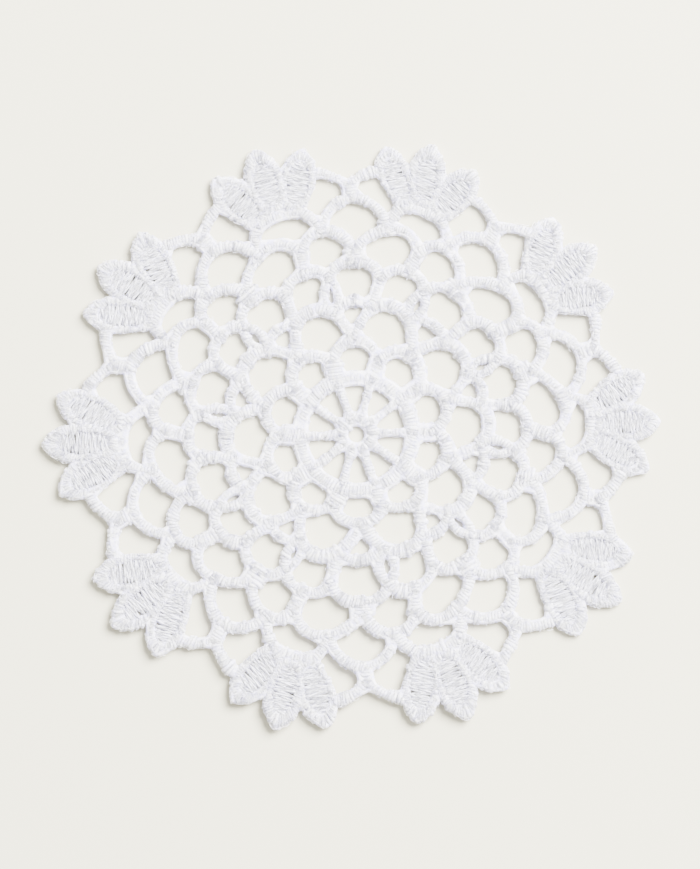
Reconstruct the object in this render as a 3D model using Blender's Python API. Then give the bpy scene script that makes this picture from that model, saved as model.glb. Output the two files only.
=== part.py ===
"""A round lace doily, worked in one piece.

Thread-covered cords of about 2 mm cross a flat round in tiers of arches, like
fish scales: a wheel with ten spokes, small arches and shields round it, three
tiers of wider arches, and ten clusters of three leaves round the edge. One solid
holds it all: the cloth is a plate with every gap of the net cut through, its
cords rounded over on top, and the thirty leaves sunk between their raised rims.

Metres, +Z up. The doily lies on the plane z = 0, and the origin is the middle of
its outline. The pattern is charted once, for one leaf cluster. Its shares are
parts of REACH, and its turns are degrees clockwise, seen from above, from the
axis of the cluster.
"""

import math
from collections import namedtuple

import bmesh
import bpy
from mathutils.bvhtree import BVHTree

# Driving sizes
REACH = 0.055             # centre to the tips of the middle leaves
THICKNESS = 0.0016        # a cord, from the underside to its top
RIM_HEIGHT = 0.0007       # upright lower part of a cord's side
ROUND_OVER = 0.00045      # how far a cord's side then leans in
CENTRE_HOLE = 0.0015      # radius of the hole in the hub
LEAF_SINK = 0.0005        # drop from a leaf's rim to its middle
LEAF_SLOPE = 0.0005       # width of the slope between the two
MITRE_LIMIT = 1.8         # longest corner of a rounded edge, in ROUND_OVERs

REPEATS = 10
STEP = 360.0 / REPEATS    # degrees from one leaf cluster to the next
FIRST_AXIS = 74.4         # direction of cluster 0, in degrees from +X towards +Y
RING = math.tan(math.radians(STEP) / 4) / 2   # bulge that makes cords a round ring

# Knots, where cords meet
Knot = namedtuple("Knot", "share turn")
KNOTS = {
    "hub": Knot(0.050, 0.0),
    "wheel": Knot(0.183, 0.0),
    "fork": Knot(0.243, 1.5),
    "crest": Knot(0.303, 18.5),
    "shield_left": Knot(0.4045, -8.5),
    "shield_top": Knot(0.4235, 0.0),
    "shield_right": Knot(0.398, 9.8),
    "bridge": Knot(0.426, 19.5),
    "arch_left": Knot(0.504, -7.1),
    "arch_top": Knot(0.549, 1.9),
    "arch_right": Knot(0.5077, 10.0),
    "side_top": Knot(0.557, 19.0),
    "fan_middle": Knot(0.619, 3.0),
    "fan_side": Knot(0.590, 18.5),
    "fan_left": Knot(0.670, -7.9),
    "fan_right": Knot(0.673, 9.6),
    "between_top": Knot(0.768, 18.6),
    "notch": Knot(0.814, 18.2),
    "base_left": Knot(0.754, -5.2),
    "base_right": Knot(0.754, 5.0),
    "wing_left": Knot(0.874, -11.2),
    "wing_right": Knot(0.870, 11.6),
}

# Cords between them. `ahead` is 1 where the end belongs to the next repeat, bulge is
# the rise of the cord's arc as a part of its span, to the left on the way to the end,
# and width is a share.
Cord = namedtuple("Cord", "start end ahead bulge width")
CORDS = (
    Cord("hub", "hub", 1, RING, 0.044),
    Cord("hub", "wheel", 0, 0.0, 0.036),
    Cord("wheel", "wheel", 1, RING, 0.058),
    Cord("wheel", "fork", 0, 0.0, 0.065),
    Cord("fork", "crest", 0, 0.18, 0.044),
    Cord("crest", "fork", 1, 0.18, 0.044),
    Cord("shield_left", "shield_top", 0, 0.12, 0.049),
    Cord("shield_top", "shield_right", 0, 0.12, 0.049),
    Cord("shield_right", "crest", 0, 0.05, 0.042),
    Cord("crest", "shield_left", 1, 0.05, 0.042),
    Cord("shield_right", "bridge", 0, 0.10, 0.038),
    Cord("bridge", "shield_left", 1, 0.10, 0.038),
    Cord("shield_left", "arch_left", 0, 0.0, 0.044),
    Cord("shield_right", "arch_right", 0, 0.0, 0.074),
    Cord("arch_left", "arch_top", 0, 0.20, 0.042),
    Cord("arch_top", "arch_right", 0, 0.20, 0.042),
    Cord("arch_right", "side_top", 0, 0.22, 0.042),
    Cord("side_top", "arch_left", 1, 0.20, 0.042),
    Cord("arch_top", "fan_middle", 0, 0.0, 0.053),
    Cord("side_top", "fan_side", 0, 0.0, 0.085),
    Cord("fan_left", "fan_middle", 0, 0.25, 0.042),
    Cord("fan_middle", "fan_right", 0, 0.20, 0.042),
    Cord("fan_right", "fan_side", 0, 0.16, 0.042),
    Cord("fan_side", "fan_left", 1, 0.10, 0.042),
    Cord("fan_right", "between_top", 0, 0.17, 0.041),
    Cord("between_top", "fan_left", 1, 0.17, 0.041),
    Cord("between_top", "notch", 0, 0.0, 0.058),
    Cord("wing_right", "notch", 0, 0.08, 0.038),
    Cord("notch", "wing_left", 1, 0.08, 0.038),
    Cord("fan_left", "base_left", 0, 0.08, 0.043),
    Cord("base_left", "base_right", 0, 0.08, 0.047),
    Cord("base_right", "fan_right", 0, 0.08, 0.043),
    Cord("base_left", "wing_left", 0, 0.0, 0.032),
    Cord("base_right", "wing_right", 0, 0.0, 0.032),
)
CORD_STEPS = 8            # straight pieces that an arc is drawn with

# Gaps between the cords: a point inside, how much longer than wide the gap is, the
# direction of its length, in degrees clockwise from outwards, and its corners.
Gap = namedtuple("Gap", "share turn stretch tilt corners")
GAPS = {
    "wheel": Gap(0.125, 18.0, 1.2, 0.0, 8),
    "hub_arch": Gap(0.240, 19.8, 0.8, 0.0, 9),
    "shield": Gap(0.340, 0.2, 1.3, 0.0, 12),
    "crescent": Gap(0.384, 19.6, 1.8, 30.0, 8),
    "small_arch": Gap(0.489, 0.8, 1.0, 0.0, 10),
    "side_arch": Gap(0.490, 19.4, 0.9, 0.0, 11),
    "fan_left": Gap(0.590, -6.2, 0.9, 0.0, 12),
    "fan_right": Gap(0.596, 10.2, 1.1, 0.0, 11),
    "fan_between": Gap(0.680, 18.7, 1.0, 0.0, 12),
    "half_moon": Gap(0.697, 1.0, 0.6, 0.0, 10),
    "wing_left": Gap(0.785, -10.4, 1.8, -45.0, 10),
    "wing_right": Gap(0.785, 11.1, 1.8, 45.0, 10),
}

# Leaves of one cluster. A leaf's tip is a blunt point, as far ahead of the leaf's
# middle as its length, in the direction it faces, in degrees clockwise from the axis.
Leaf = namedtuple("Leaf", "share turn facing half_width length")
LEAVES = {
    "left": Leaf(0.884, -7.55, -30.0, 0.062, 0.087),
    "middle": Leaf(0.909, 0.0, 0.0, 0.063, 0.091),
    "right": Leaf(0.882, 7.55, 30.0, 0.062, 0.087),
}
TIP_STEPS = 8             # straight pieces round a tip
TIP_START = 80.0          # where its outline starts, in degrees round from the point
TIP_CURVE = 1.8           # how long the tip stays broad, 2 for an ellipse
TIP_POINT = 0.75          # how pointed it is, 0.5 for an ellipse
PANEL_CORNERS = 9         # corners of a leaf's sunk middle
PANEL_WIDTH = 0.56        # its width, as a part of the leaf's
PANEL_LENGTH = 0.69       # its half length, as a part of the tip's length
PANEL_BACK = 0.41         # how far it is set back from the leaf's middle, likewise
CLEFT_TURN = 3.9          # bottom of the cleft between two leaves
CLEFT_SHARE = 0.915
BAR_TURN = 14.8           # bend of the bar between a side leaf and the notch
BAR_SHARE = 0.868
NOTCH_SHARE = 0.846       # outline half way between two clusters

# How unevenly the lace has dried, a row for each repeat. Out is in millimetres and
# swing in degrees anticlockwise, at the leaf tips, at the arches between two
# clusters and at the shields by the wheel. Lift is how far the tips curl up, in
# millimetres: the lace rests on its wheel and on the tips of three clusters.
Uneven = namedtuple("Uneven", "tip_out tip_swing arch_out arch_swing shield_out shield_swing lift")
UNEVEN = (
    Uneven(-1.1, 0.7, -0.1, -0.6, 0.7, 0.9, 0.0),
    Uneven(-0.3, -0.2, 0.5, -0.2, 0.6, -0.6, 0.3),
    Uneven(-0.4, 0.0, -0.2, 1.2, 0.5, 2.7, 0.3),
    Uneven(0.9, 1.0, -1.2, 2.0, -0.3, 2.5, 0.0),
    Uneven(-0.3, 1.0, -0.6, 0.0, -0.9, 4.4, 0.6),
    Uneven(-0.3, 0.2, -1.0, -1.1, -0.7, -3.0, 0.6),
    Uneven(0.6, 0.0, -0.1, -0.2, 0.0, -1.2, 0.5),
    Uneven(1.2, -0.5, -0.3, -0.3, 0.0, -0.5, 0.0),
    Uneven(0.3, 0.4, -0.7, 0.6, 0.2, -0.3, 0.4),
    Uneven(-0.6, -0.6, 0.3, -1.3, 0.1, 0.0, 0.3),
)
HUB_SHARE = 0.21          # inside this the wheel stays round and lies flat
SHIELD_SHARE = 0.33
ARCH_SHARE = 0.70
TIP_SHARE = 0.95

WHITE_THREAD = (0.90, 0.90, 0.93, 1.0)


def clear_scene():
    for item in list(bpy.data.objects):
        bpy.data.objects.remove(item, do_unlink=True)


def white_thread():
    material = bpy.data.materials.new("white_thread")
    material.use_nodes = True
    shader = material.node_tree.nodes["Principled BSDF"]
    shader.inputs["Base Color"].default_value = WHITE_THREAD
    shader.inputs["Roughness"].default_value = 0.85
    shader.inputs["Metallic"].default_value = 0.0
    return material


def ease(amount):
    amount = min(max(amount, 0.0), 1.0)
    return amount * amount * (3.0 - 2.0 * amount)


def around(column, position):
    """A column of UNEVEN, read between its rows; rows follow each other round."""
    row = math.floor(position)
    first = getattr(UNEVEN[row % REPEATS], column)
    second = getattr(UNEVEN[(row + 1) % REPEATS], column)
    return first + (second - first) * ease(position - row)


def unevenness(kind, share, position):
    """Out or swing at a share of the reach, `position` repeats round the doily."""
    shield = around("shield_" + kind, position)
    arch = around("arch_" + kind, position - 0.5)
    tip = around("tip_" + kind, position)
    amount = shield * ease((share - HUB_SHARE) / (SHIELD_SHARE - HUB_SHARE))
    amount += (arch - shield) * ease((share - SHIELD_SHARE) / (ARCH_SHARE - SHIELD_SHARE))
    amount += (tip - arch) * ease((share - ARCH_SHARE) / (TIP_SHARE - ARCH_SHARE))
    return amount


def on_chart(share, turn):
    """A share and turn as a point of the chart: across and along the axis."""
    return share * math.sin(math.radians(turn)), share * math.cos(math.radians(turn))


def lift_off(share, position):
    """How far the lace stands off the table, in metres."""
    row = math.floor(position)
    first, second = UNEVEN[row % REPEATS].lift, UNEVEN[(row + 1) % REPEATS].lift
    lift = first + (second - first) * (position - row)
    return lift / 1000 * ease((share - HUB_SHARE) / (1.0 - HUB_SHARE))


def on_lace(repeat, point):
    """A point of the chart in one repeat of the lace, as x, y and lift in metres."""
    share = math.hypot(*point)
    position = repeat + math.degrees(math.atan2(*point)) / STEP
    angle = math.radians(FIRST_AXIS - STEP * position + unevenness("swing", share, position))
    radius = share * REACH + unevenness("out", share, position) / 1000
    return radius * math.cos(angle), radius * math.sin(angle), lift_off(share, position)


def cord_sides(cord):
    """The two sides of a cord, as one closed ring of the chart."""
    start, end = KNOTS[cord.start], KNOTS[cord.end]
    x, y = on_chart(start.share, start.turn)
    end_x, end_y = on_chart(end.share, end.turn + STEP * cord.ahead)
    span = math.hypot(end_x - x, end_y - y)
    way = (end_x - x) / span, (end_y - y) / span
    left, right = [], []
    for step in range(CORD_STEPS + 1):
        along = step / CORD_STEPS
        rise = 4 * cord.bulge * span * along * (1 - along)
        slope = 4 * cord.bulge * (1 - 2 * along)
        length = math.hypot(1, slope)
        middle = (x + way[0] * along * span - way[1] * rise, y + way[1] * along * span + way[0] * rise)
        out = (-way[1] - way[0] * slope) / length, (way[0] - way[1] * slope) / length
        left.append((middle[0] + out[0] * cord.width / 2, middle[1] + out[1] * cord.width / 2))
        right.append((middle[0] - out[0] * cord.width / 2, middle[1] - out[1] * cord.width / 2))
    return left + right[::-1]


def cord_walls():
    """Upright walls round every cord, for the gaps to be measured against."""
    verts, faces = [], []
    for repeat in range(REPEATS):
        for cord in CORDS:
            ring = [on_lace(repeat, point) for point in cord_sides(cord)]
            first = len(verts)
            for x, y, _ in ring:
                verts += [(x, y, -THICKNESS), (x, y, THICKNESS)]
            for index in range(len(ring)):
                here = first + 2 * index
                there = first + 2 * ((index + 1) % len(ring))
                faces.append((here, there, there + 1, here + 1))
    return BVHTree.FromPolygons(verts, faces)


def gap_outline(gap, repeat, walls):
    """A gap's edge, clockwise seen from above: where lines from inside it meet cords."""
    inside = on_chart(gap.share, gap.turn)
    x, y, _ = on_lace(repeat, inside)
    axis = math.radians(FIRST_AXIS - STEP * repeat - gap.turn - gap.tilt)
    points = []
    for corner in range(gap.corners):
        angle = -2 * math.pi * corner / gap.corners
        ahead, side = gap.stretch * math.cos(angle), math.sin(angle)
        way = (
            ahead * math.cos(axis) - side * math.sin(axis),
            ahead * math.sin(axis) + side * math.cos(axis),
            0.0,
        )
        points.append(walls.ray_cast((x, y, 0.0), way)[0])
    return [(point.x, point.y, lift_at(point)) for point in points]


def lift_at(point):
    """How far the lace stands off the table at a point of the lace."""
    position = (FIRST_AXIS - math.degrees(math.atan2(point.y, point.x))) / STEP
    share = math.hypot(point.x, point.y) / REACH
    return lift_off(share, position)


def in_leaf(leaf, repeat, ahead, side):
    """A place ahead of a leaf's middle and beside it, on the lace."""
    facing = math.radians(leaf.facing)
    across, along = on_chart(leaf.share, leaf.turn)
    return on_lace(repeat, (
        across + side * math.cos(facing) + ahead * math.sin(facing),
        along - side * math.sin(facing) + ahead * math.cos(facing),
    ))


def leaf_tip(leaf, repeat):
    """The pointed outline of a leaf's tip, from its left side to its right."""
    points = []
    for step in range(TIP_STEPS + 1):
        angle = math.radians(TIP_START * (2 * step / TIP_STEPS - 1))
        ahead = math.cos(angle)
        side = math.copysign((1 - ahead ** TIP_CURVE) ** TIP_POINT, angle)
        points.append(in_leaf(leaf, repeat, leaf.length * ahead, leaf.half_width * side))
    return points


def edge_outline():
    """The whole scalloped edge, anticlockwise seen from above."""
    points = []
    for repeat in range(REPEATS):
        points.append(on_lace(repeat, on_chart(NOTCH_SHARE, -STEP / 2)))
        points.append(on_lace(repeat, on_chart(BAR_SHARE, -BAR_TURN)))
        points += leaf_tip(LEAVES["left"], repeat)
        points.append(on_lace(repeat, on_chart(CLEFT_SHARE, -CLEFT_TURN)))
        points += leaf_tip(LEAVES["middle"], repeat)
        points.append(on_lace(repeat, on_chart(CLEFT_SHARE, CLEFT_TURN)))
        points += leaf_tip(LEAVES["right"], repeat)
        points.append(on_lace(repeat, on_chart(BAR_SHARE, BAR_TURN)))
    return points[::-1]


def leaf_panel(leaf, repeat):
    """The sunk middle of a leaf, clockwise seen from above."""
    points = []
    for corner in range(PANEL_CORNERS):
        angle = 2 * math.pi * corner / PANEL_CORNERS
        ahead = leaf.length * (PANEL_LENGTH * math.cos(angle) - PANEL_BACK)
        side = leaf.half_width * PANEL_WIDTH * math.sin(angle)
        points.append(in_leaf(leaf, repeat, ahead, side))
    return points


def centre_hole(corners=10):
    angles = [-2 * math.pi * corner / corners for corner in range(corners)]
    return [(CENTRE_HOLE * math.cos(angle), CENTRE_HOLE * math.sin(angle), 0.0) for angle in angles]


def moved_in(outline, distance):
    """An outline moved to its own left, with its corners mitred."""
    moved = []
    for index, (x, y, lift) in enumerate(outline):
        before = outline[index - 1]
        after = outline[(index + 1) % len(outline)]
        first = math.atan2(y - before[1], x - before[0])
        second = math.atan2(after[1] - y, after[0] - x)
        half_bend = (second - first + math.pi) % (2 * math.pi) / 2 - math.pi / 2
        reach = distance * min(1 / max(math.cos(half_bend), 0.01), MITRE_LIMIT)
        normal = first + half_bend + math.pi / 2
        moved.append((x + reach * math.cos(normal), y + reach * math.sin(normal), lift))
    return moved


def add_ring(mesh, outline, height):
    return [mesh.verts.new((x, y, lift + height)) for x, y, lift in outline]


def add_wall(mesh, low, high):
    for index in range(len(low)):
        mesh.faces.new((low[index - 1], low[index], high[index], high[index - 1]))


def ring_edges(mesh, ring):
    return [mesh.edges.get((ring[index - 1], ring[index])) for index in range(len(ring))]


def lace_mesh():
    walls = cord_walls()
    outlines = [edge_outline(), centre_hole()]
    for repeat in range(REPEATS):
        outlines += [gap_outline(gap, repeat, walls) for gap in GAPS.values()]
    mesh = bmesh.new()
    underside, top = [], []
    for outline in outlines:
        low = add_ring(mesh, outline, 0.0)
        rim = add_ring(mesh, outline, RIM_HEIGHT)
        high = add_ring(mesh, moved_in(outline, ROUND_OVER), THICKNESS)
        add_wall(mesh, low, rim)
        add_wall(mesh, rim, high)
        underside += ring_edges(mesh, low)
        top += ring_edges(mesh, high)
    for repeat in range(REPEATS):
        for leaf in LEAVES.values():
            panel = leaf_panel(leaf, repeat)
            rim = add_ring(mesh, panel, THICKNESS)
            floor = add_ring(mesh, moved_in(panel, -LEAF_SLOPE), THICKNESS - LEAF_SINK)
            add_wall(mesh, floor, rim)
            mesh.faces.new(floor)
            top += ring_edges(mesh, rim)
    bmesh.ops.triangle_fill(mesh, edges=underside, use_beauty=True)
    bmesh.ops.triangle_fill(mesh, edges=top, use_beauty=True)
    bmesh.ops.recalc_face_normals(mesh, faces=mesh.faces)
    return mesh


def centre_on_box(mesh):
    """Moves the lace so that the origin is the middle of its outline's box."""
    lows = [min(vert.co[axis] for vert in mesh.verts) for axis in (0, 1)]
    highs = [max(vert.co[axis] for vert in mesh.verts) for axis in (0, 1)]
    shift = [-(low + high) / 2 for low, high in zip(lows, highs)]
    bmesh.ops.translate(mesh, verts=mesh.verts, vec=(shift[0], shift[1], 0.0))


def add_doily():
    mesh = lace_mesh()
    centre_on_box(mesh)
    data = bpy.data.meshes.new("lace_doily")
    mesh.to_mesh(data)
    mesh.free()
    data.materials.append(white_thread())
    doily = bpy.data.objects.new("lace_doily", data)
    bpy.context.scene.collection.objects.link(doily)
    return doily


clear_scene()
add_doily()
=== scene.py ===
"""A small round lace doily, stitched in white cotton.

The lace is a net of cords. Each cord is a soft padding with one cotton thread
wound round it, turn beside turn, so its stitches lie across it. The leaves round
the edge are satin stitched in the same way, over an open middle that a thread
crosses in zigzags. The pattern is charted once, for one leaf cluster, and is laid
ten times round.

Shares are parts of REACH, and turns are degrees clockwise, seen from above, from
the axis of a cluster. Lengths are in metres.
"""

import math
from collections import namedtuple

import bmesh
import bpy
import numpy as np
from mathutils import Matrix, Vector
from mathutils.bvhtree import BVHTree


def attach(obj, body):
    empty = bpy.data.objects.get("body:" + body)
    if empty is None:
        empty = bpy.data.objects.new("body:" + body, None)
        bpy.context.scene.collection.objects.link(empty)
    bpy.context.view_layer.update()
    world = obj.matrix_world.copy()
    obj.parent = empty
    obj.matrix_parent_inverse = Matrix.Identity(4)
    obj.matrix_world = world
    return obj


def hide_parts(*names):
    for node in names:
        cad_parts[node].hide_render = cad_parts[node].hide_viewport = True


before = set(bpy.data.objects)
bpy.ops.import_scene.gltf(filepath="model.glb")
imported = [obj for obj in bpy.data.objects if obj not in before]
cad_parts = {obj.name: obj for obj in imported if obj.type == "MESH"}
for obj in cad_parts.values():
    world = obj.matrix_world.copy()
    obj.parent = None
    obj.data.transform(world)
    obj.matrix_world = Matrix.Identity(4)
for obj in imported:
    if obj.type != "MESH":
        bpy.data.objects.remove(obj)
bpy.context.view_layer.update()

bl_info = {
    "name": "Lace Doily",
    "version": (1, 0, 0),
    "blender": (4, 5, 0),
    "location": "3D View > Sidebar > Lace",
    "description": "A round cotton lace doily, wound and stitched thread by thread",
    "category": "Add Mesh",
}

# ---------------------------------------------------------------- the chart

REACH = 0.055             # centre to the tips of the middle leaves
REPEATS = 10
STEP = 360.0 / REPEATS    # degrees from one leaf cluster to the next
FIRST_AXIS = 74.4         # direction of cluster 0, in degrees from +X towards +Y
RING = math.tan(math.radians(STEP) / 4) / 2   # bulge that makes bands a round ring

# Knots, where bands meet
Knot = namedtuple("Knot", "share turn")
KNOTS = {
    "hub": Knot(0.050, 0.0),
    "wheel": Knot(0.183, 0.0),
    "fork": Knot(0.243, 1.5),
    "crest": Knot(0.303, 18.5),
    "shield_left": Knot(0.4045, -8.5),
    "shield_top": Knot(0.4235, 0.0),
    "shield_right": Knot(0.398, 9.8),
    "bridge": Knot(0.426, 19.5),
    "arch_left": Knot(0.504, -7.1),
    "arch_top": Knot(0.549, 1.9),
    "arch_right": Knot(0.5077, 10.0),
    "side_top": Knot(0.557, 19.0),
    "fan_middle": Knot(0.619, 3.0),
    "fan_side": Knot(0.590, 18.5),
    "fan_left": Knot(0.670, -7.9),
    "fan_right": Knot(0.673, 9.6),
    "between_top": Knot(0.768, 18.6),
    "notch": Knot(0.814, 18.2),
    "base_left": Knot(0.754, -5.2),
    "base_right": Knot(0.754, 5.0),
    "wing_left": Knot(0.874, -11.2),
    "wing_right": Knot(0.870, 11.6),
}

# Bands between them, which the cords follow. Ahead is 1 where the end belongs to the
# next repeat. Bulge is the rise of the band's arc as a part of its span, to the left
# on the way to the end. Width is a share, as FLARE and FLARE_LENGTH are.
Band = namedtuple("Band", "start end ahead bulge width")
WHEEL = (
    Band("hub", "hub", 1, RING, 0.042),
    Band("hub", "wheel", 0, 0.0, 0.031),
    Band("wheel", "wheel", 1, RING, 0.055),
)
SHIELDS = (
    Band("wheel", "fork", 0, 0.0, 0.065),
    Band("fork", "crest", 0, 0.18, 0.044),
    Band("crest", "fork", 1, 0.18, 0.044),
    Band("shield_left", "shield_top", 0, 0.12, 0.049),
    Band("shield_top", "shield_right", 0, 0.12, 0.049),
    Band("shield_right", "crest", 0, 0.05, 0.042),
    Band("crest", "shield_left", 1, 0.05, 0.042),
    Band("shield_right", "bridge", 0, 0.10, 0.038),
    Band("bridge", "shield_left", 1, 0.10, 0.038),
)
ARCHES = (
    Band("shield_left", "arch_left", 0, 0.0, 0.043),
    Band("shield_right", "arch_right", 0, 0.21, 0.033),
    Band("shield_right", "arch_right", 0, -0.21, 0.033),
    Band("arch_left", "arch_top", 0, 0.20, 0.042),
    Band("arch_top", "arch_right", 0, 0.20, 0.042),
    Band("arch_right", "side_top", 0, 0.22, 0.042),
    Band("side_top", "arch_left", 1, 0.20, 0.042),
    Band("arch_top", "fan_middle", 0, 0.0, 0.052),
    Band("side_top", "fan_side", 0, 0.0, 0.085),
)
FANS = (
    Band("fan_left", "fan_middle", 0, 0.25, 0.042),
    Band("fan_middle", "fan_right", 0, 0.20, 0.042),
    Band("fan_right", "fan_side", 0, 0.16, 0.042),
    Band("fan_side", "fan_left", 1, 0.10, 0.042),
    Band("fan_right", "between_top", 0, 0.17, 0.040),
    Band("between_top", "fan_left", 1, 0.17, 0.040),
)
RIM = (
    Band("between_top", "notch", 0, 0.0, 0.055),
    Band("wing_right", "notch", 0, 0.08, 0.038),
    Band("notch", "wing_left", 1, 0.08, 0.038),
    Band("fan_left", "base_left", 0, 0.08, 0.041),
    Band("base_left", "base_right", 0, 0.08, 0.046),
    Band("base_right", "fan_right", 0, 0.08, 0.041),
)
BANDS = WHEEL + SHIELDS + ARCHES + FANS + RIM
BAND_STEPS = 16           # straight pieces that a band is drawn with
FLARE = 0.0030            # how much wider each side of a band is at its knots
FLARE_LENGTH = 0.018      # distance from the knot in which it grows narrow again
KNOT_PLAY = 0.0017        # how far a knot lies from its charted place, as a share
KNOT_SEED = 11
WIDTH_PLAY = 0.045        # how much a band's width wanders, as a part of it
WIDTH_CHANGES = 4         # places along a band where its width is drawn

# Gaps between the cords: a point inside, how much longer than wide the gap is, the
# direction of its length, in degrees clockwise from outwards, and its corners.
Gap = namedtuple("Gap", "share turn stretch tilt corners")
GAPS = (
    Gap(0.125, 18.0, 1.2, 0.0, 20),     # between two spokes
    Gap(0.240, 19.8, 0.8, 0.0, 20),     # arch on the wheel
    Gap(0.340, 0.2, 1.3, 0.0, 28),      # shield
    Gap(0.384, 19.6, 1.8, 30.0, 16),    # crescent
    Gap(0.489, 0.8, 1.0, 0.0, 24),      # small arch
    Gap(0.490, 19.4, 0.9, 0.0, 24),     # side arch
    Gap(0.453, 9.8, 2.2, 6.0, 14),      # slit between the two
    Gap(0.590, -6.2, 0.9, 0.0, 28),     # fan, left
    Gap(0.596, 10.2, 1.1, 0.0, 26),     # fan, right
    Gap(0.680, 18.7, 1.0, 0.0, 28),     # between two clusters
    Gap(0.697, 1.0, 0.6, 0.0, 22),      # half moon under a cluster
    Gap(0.785, -10.4, 1.8, -45.0, 22),  # wing, left
    Gap(0.785, 11.1, 1.8, 45.0, 22),    # wing, right
)

# Leaves of one cluster. A leaf's tip is a blunt point, as far ahead of the leaf's
# middle as its length, in the direction it faces, in degrees clockwise from the axis.
Leaf = namedtuple("Leaf", "share turn facing half_width length rise")
LEAVES = (
    Leaf(0.884, -7.55, -30.0, 0.062, 0.087, 0.00000),
    Leaf(0.909, 0.0, 0.0, 0.063, 0.091, 0.00012),
    Leaf(0.882, 7.55, 30.0, 0.062, 0.087, 0.00004),
)
LEAF_BACK = 0.143         # from a leaf's middle back to its base
BASE_WIDTH = 0.55         # its width there, as a part of its widest
BASE_CURVE = 1.7          # how late it narrows on the way to its base, as a power
TIP_CURVE = 1.8           # how late it narrows on the way to its tip
TIP_POINT = 0.75          # how pointed the tip is: a half is round, and 1 is sharp
OPENING_BACK = 0.038      # from the leaf's middle back to the middle of its opening
OPENING_LENGTH = 0.069    # half the opening's length
OPENING_WIDTH = 0.033     # half its width
LEAF_STEPS = 96           # places that a leaf's outline is read at
BACK_STEPS = 12           # straight pieces that each side is drawn with behind its
FRONT_STEPS = 24          # middle, and ahead of it
COARSE = 3                # the padding follows every third place of a leaf

CLEFT_TURN = 3.9          # bottom of the cleft between two leaves
CLEFT_SHARE = 0.915
BAR_TURN = 14.8           # bend of the rim between a side leaf and the notch
BAR_SHARE = 0.868
NOTCH_SHARE = 0.846       # outline half way between two clusters
CENTRE_HOLE = 0.0013      # radius of the hole in the hub
HUB = (0.00081, 0.00032)  # place of the hub in the frame

# How unevenly the lace has dried, a row for each repeat. Out is in millimetres and
# swing in degrees anticlockwise, at the leaf tips, at the arches between two
# clusters and at the shields by the wheel. Lift is how far the tips curl up, in
# millimetres: the lace rests on its wheel and on one or two of its clusters.
Uneven = namedtuple(
    "Uneven", "tip_out tip_swing arch_out arch_swing shield_out shield_swing lift")
UNEVEN = (
    Uneven(-1.1, 0.7, -0.1, -0.6, 0.7, 0.9, 0.0),
    Uneven(-0.3, -0.2, 0.5, -0.2, 0.6, -0.6, 0.3),
    Uneven(-0.4, 0.0, -0.2, 1.2, 0.5, 2.7, 0.3),
    Uneven(0.9, 1.0, -1.2, 2.0, -0.3, 2.5, 0.1),
    Uneven(-0.3, 1.0, -0.6, 0.0, -0.9, 4.4, 0.8),
    Uneven(-0.3, 0.2, -1.0, -1.1, -0.7, -3.0, 0.8),
    Uneven(0.6, 0.0, -0.1, -0.2, 0.0, -1.2, 0.7),
    Uneven(1.2, -0.5, -0.3, -0.3, 0.0, -0.5, 0.6),
    Uneven(0.3, 0.4, -0.7, 0.6, 0.2, -0.3, 0.5),
    Uneven(-0.6, -0.6, 0.3, -1.3, 0.1, 0.0, 0.3),
)
HUB_SHARE = 0.21          # inside this the wheel stays round and lies flat
SHIELD_SHARE = 0.33       # where the shields', the arches' and the tips' values are
ARCH_SHARE = 0.70         # reached; between these places they change smoothly
TIP_SHARE = 0.95

# ---------------------------------------------------------------- places on the lace

def ease(amount):
    """From 0 to 1 with soft ends, as the amount goes from 0 to 1."""
    amount = min(max(amount, 0.0), 1.0)
    return amount * amount * (3.0 - 2.0 * amount)


def around(column, position):
    """A column of UNEVEN, read between its rows; rows follow each other round."""
    row = math.floor(position)
    first = getattr(UNEVEN[row % REPEATS], column)
    second = getattr(UNEVEN[(row + 1) % REPEATS], column)
    return first + (second - first) * ease(position - row)


def unevenness(kind, share, position):
    """Out or swing at a share of the reach, `position` repeats round the doily."""
    shield = around("shield_" + kind, position)
    arch = around("arch_" + kind, position - 0.5)
    tip = around("tip_" + kind, position)
    amount = shield * ease((share - HUB_SHARE) / (SHIELD_SHARE - HUB_SHARE))
    amount += (arch - shield) * ease((share - SHIELD_SHARE) / (ARCH_SHARE - SHIELD_SHARE))
    amount += (tip - arch) * ease((share - ARCH_SHARE) / (TIP_SHARE - ARCH_SHARE))
    return amount


def on_chart(share, turn):
    """A share and turn as a point of the chart: across and along the axis."""
    return share * math.sin(math.radians(turn)), share * math.cos(math.radians(turn))


def lift_at(share, position):
    """How far the lace has curled up off the table, in metres."""
    return around("lift", position) / 1000 * ease((share - HUB_SHARE) / (1.0 - HUB_SHARE))


def in_leaf(leaf, ahead, across):
    """A place in a leaf, ahead of its middle and across it, as a point of the chart."""
    facing = math.radians(leaf.facing)
    x, y = on_chart(leaf.share, leaf.turn)
    return (
        x + across * math.cos(facing) + ahead * math.sin(facing),
        y - across * math.sin(facing) + ahead * math.cos(facing),
    )


def on_lace(repeat, point):
    """A point of the chart in one repeat of the lace, in the frame, with its lift."""
    share = math.hypot(*point)
    position = repeat + math.degrees(math.atan2(*point)) / STEP
    swing = unevenness("swing", share, position)
    angle = math.radians(FIRST_AXIS - STEP * position + swing)
    radius = share * REACH + unevenness("out", share, position) / 1000
    x = radius * math.cos(angle) + HUB[0]
    y = radius * math.sin(angle) + HUB[1]
    return x, y, lift_at(share, position)


def scattered_knots():
    """A small shift on the chart for every knot, but none for the hub's and the wheel's."""
    dice = np.random.default_rng(KNOT_SEED)
    return {
        (name, repeat): dice.normal(0.0, KNOT_PLAY, 2) * (name not in ("hub", "wheel"))
        for repeat in range(REPEATS) for name in KNOTS
    }


KNOT_SHIFTS = scattered_knots()


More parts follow.
